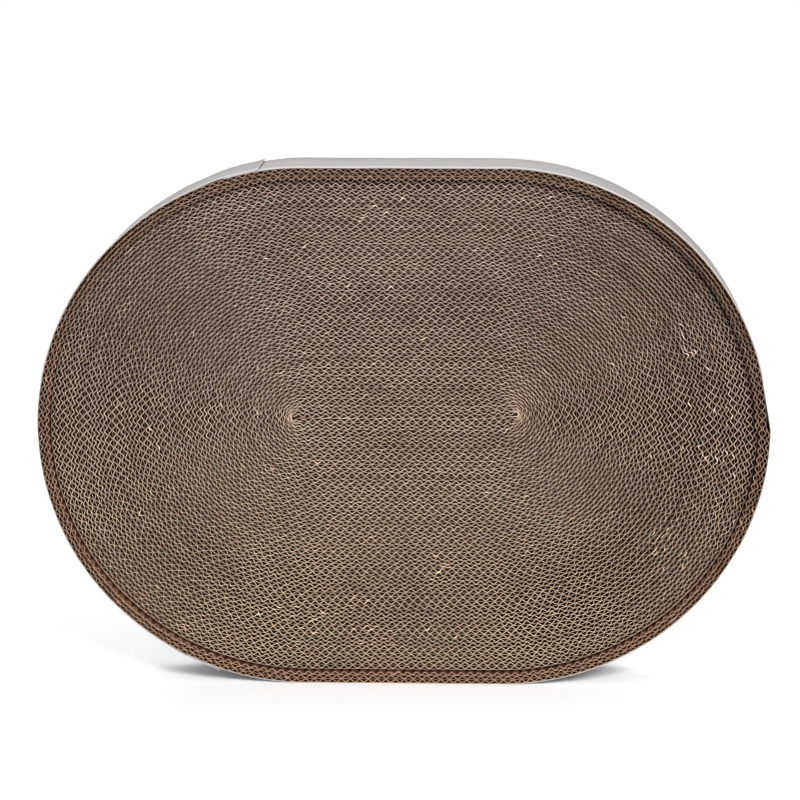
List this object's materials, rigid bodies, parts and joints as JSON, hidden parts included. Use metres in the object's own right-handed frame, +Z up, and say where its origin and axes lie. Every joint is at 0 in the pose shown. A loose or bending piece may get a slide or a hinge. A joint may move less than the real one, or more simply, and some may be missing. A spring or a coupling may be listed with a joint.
{
  "type": "cat scratch board",
  "caption": "Oval scratch board wound from a corrugated strip, with a recessed scratch field inside a proud rim and a smooth paper wrap round the edge.",
  "frame": {"origin": "on the floor under the middle of the board, which stands on its long edge", "axes": "+X to the right along the length seen from the scratch face, +Y from the scratch face to the back, +Z up"},
  "size_m": [0.5068, 0.07, 0.3615],
  "materials": {
    "field_board": "matt kraft with pale cut edges",
    "rim_board": "matt darker kraft",
    "wrap_paper": "smooth pale grey"
  },
  "bodies": {
    "root": {"core_fold_strip": "field_board", "field_strip_01": "field_board", "field_strip_02": "field_board", "field_strip_03": "field_board", "field_strip_04": "field_board", "field_strip_05": "field_board", "field_strip_06": "field_board", "field_strip_07": "field_board", "field_strip_08": "field_board", "field_strip_09": "field_board", "field_strip_10": "field_board", "field_strip_11": "field_board", "field_strip_12": "field_board", "field_strip_13": "field_board", "field_strip_14": "field_board", "field_strip_15": "field_board", "field_strip_16": "field_board", "field_strip_17": "field_board", "field_strip_18": "field_board", "field_strip_19": "field_board", "field_strip_20": "field_board", "field_strip_21": "field_board", "rim_strip_1": "rim_board", "rim_strip_2": "rim_board", "rim_strip_3": "rim_board", "wrap_long": "wrap_paper", "wrap_short": "wrap_paper"}
  },
  "joints": []
}
